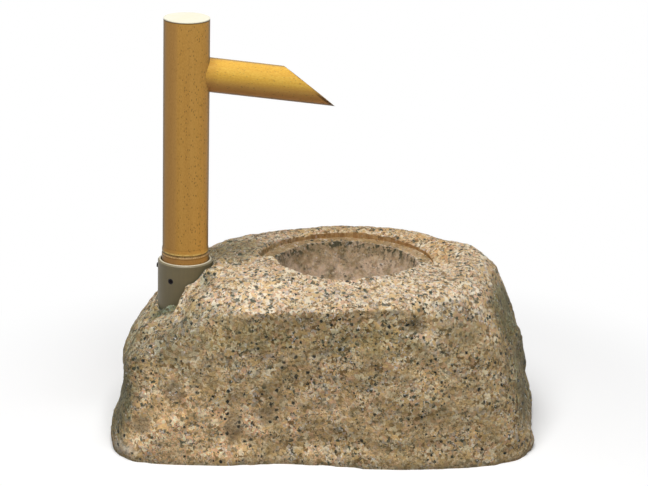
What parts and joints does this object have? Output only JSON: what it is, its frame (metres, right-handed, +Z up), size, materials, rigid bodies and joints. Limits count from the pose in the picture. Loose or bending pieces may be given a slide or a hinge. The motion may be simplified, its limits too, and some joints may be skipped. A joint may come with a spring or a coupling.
{
  "type": "garden water basin with spout post",
  "caption": "Natural boulder with a turned, drained water bowl and a capped bamboo post whose slanted spout pours into it.",
  "frame": {"origin": "mouth of the drain socket in the underside, on the ground under the middle of the bowl", "axes": "+X to the right seen from the front, along the basin's length; +Y to its back; +Z up"},
  "size_m": [0.5649, 0.4027, 0.5465],
  "materials": {
    "granite": "rough hewn, speckled black",
    "mortar": "rough",
    "socket_plastic": "dull olive grey, pale worn rim",
    "bamboo": "satin, fine fibres and brown flecks",
    "spout_bamboo": "satin, golden above and brown below",
    "cap_plastic": "smooth ivory",
    "wood_inside": "sawn",
    "screw_steel": "darkened",
    "copper": "drawn copper",
    "brass": "machined",
    "steel": "satin",
    "rubber": "dull",
    "drain_plastic": "dull"
  },
  "bodies": {
    "basin": {"stone_basin": "granite", "socket_sleeve": "socket_plastic", "socket_grout": "mortar", "post_seat_ring": "wood_inside", "inlet_elbow": "brass", "riser_seal": "rubber", "gland_nut": "brass", "supply_pipe": "copper", "inlet_grommet": "rubber", "inlet_adapter": "brass", "drain_tube": "steel", "drain_gasket": "rubber", "drain_nut": "drain_plastic"},
    "post": {"bamboo_post": "bamboo", "post_foot_plug": "wood_inside", "pipe_guide": "wood_inside", "riser_pipe": "copper", "outlet_pipe": "copper", "riser_elbow": "copper"},
    "cap": {"post_cap": "cap_plastic"},
    "spout": {"bamboo_spout": "spout_bamboo", "spout_bush": "rubber"},
    "screw_front": {"set_screw_front": "screw_steel"},
    "screw_left": {"set_screw_left": "screw_steel"},
    "screw_rear": {"set_screw_rear": "screw_steel"},
    "stopper": {"drain_stopper": "rubber", "stopper_ring": "steel"}
  },
  "joints": [
    {"name": "post_turn", "type": "hinge", "parent": "basin", "child": "post", "pos_m": [-0.2134, -0.035, 0.2], "axis": [0, 0, 1], "range_deg": [-60, 60]},
    {"name": "cap_lift", "type": "slide", "parent": "post", "child": "cap", "axis": [0, 0, 1], "range_m": [0, 0.05]},
    {"name": "spout_pull", "type": "slide", "parent": "post", "child": "spout", "axis": [0.9435, 0.2884, -0.1633], "range_m": [0, 0.08]},
    {"name": "screw_front_out", "type": "slide", "parent": "basin", "child": "screw_front", "axis": [-0.4848, -0.8746, 0], "range_m": [0, 0.006]},
    {"name": "screw_left_out", "type": "slide", "parent": "basin", "child": "screw_left", "axis": [-0.9925, 0.1219, 0], "range_m": [0, 0.006]},
    {"name": "screw_rear_out", "type": "slide", "parent": "basin", "child": "screw_rear", "axis": [-0.2588, 0.9659, 0], "range_m": [0, 0.006]},
    {"name": "stopper_lift", "type": "slide", "parent": "basin", "child": "stopper", "axis": [0, 0, 1], "range_m": [0, 0.08]}
  ]
}
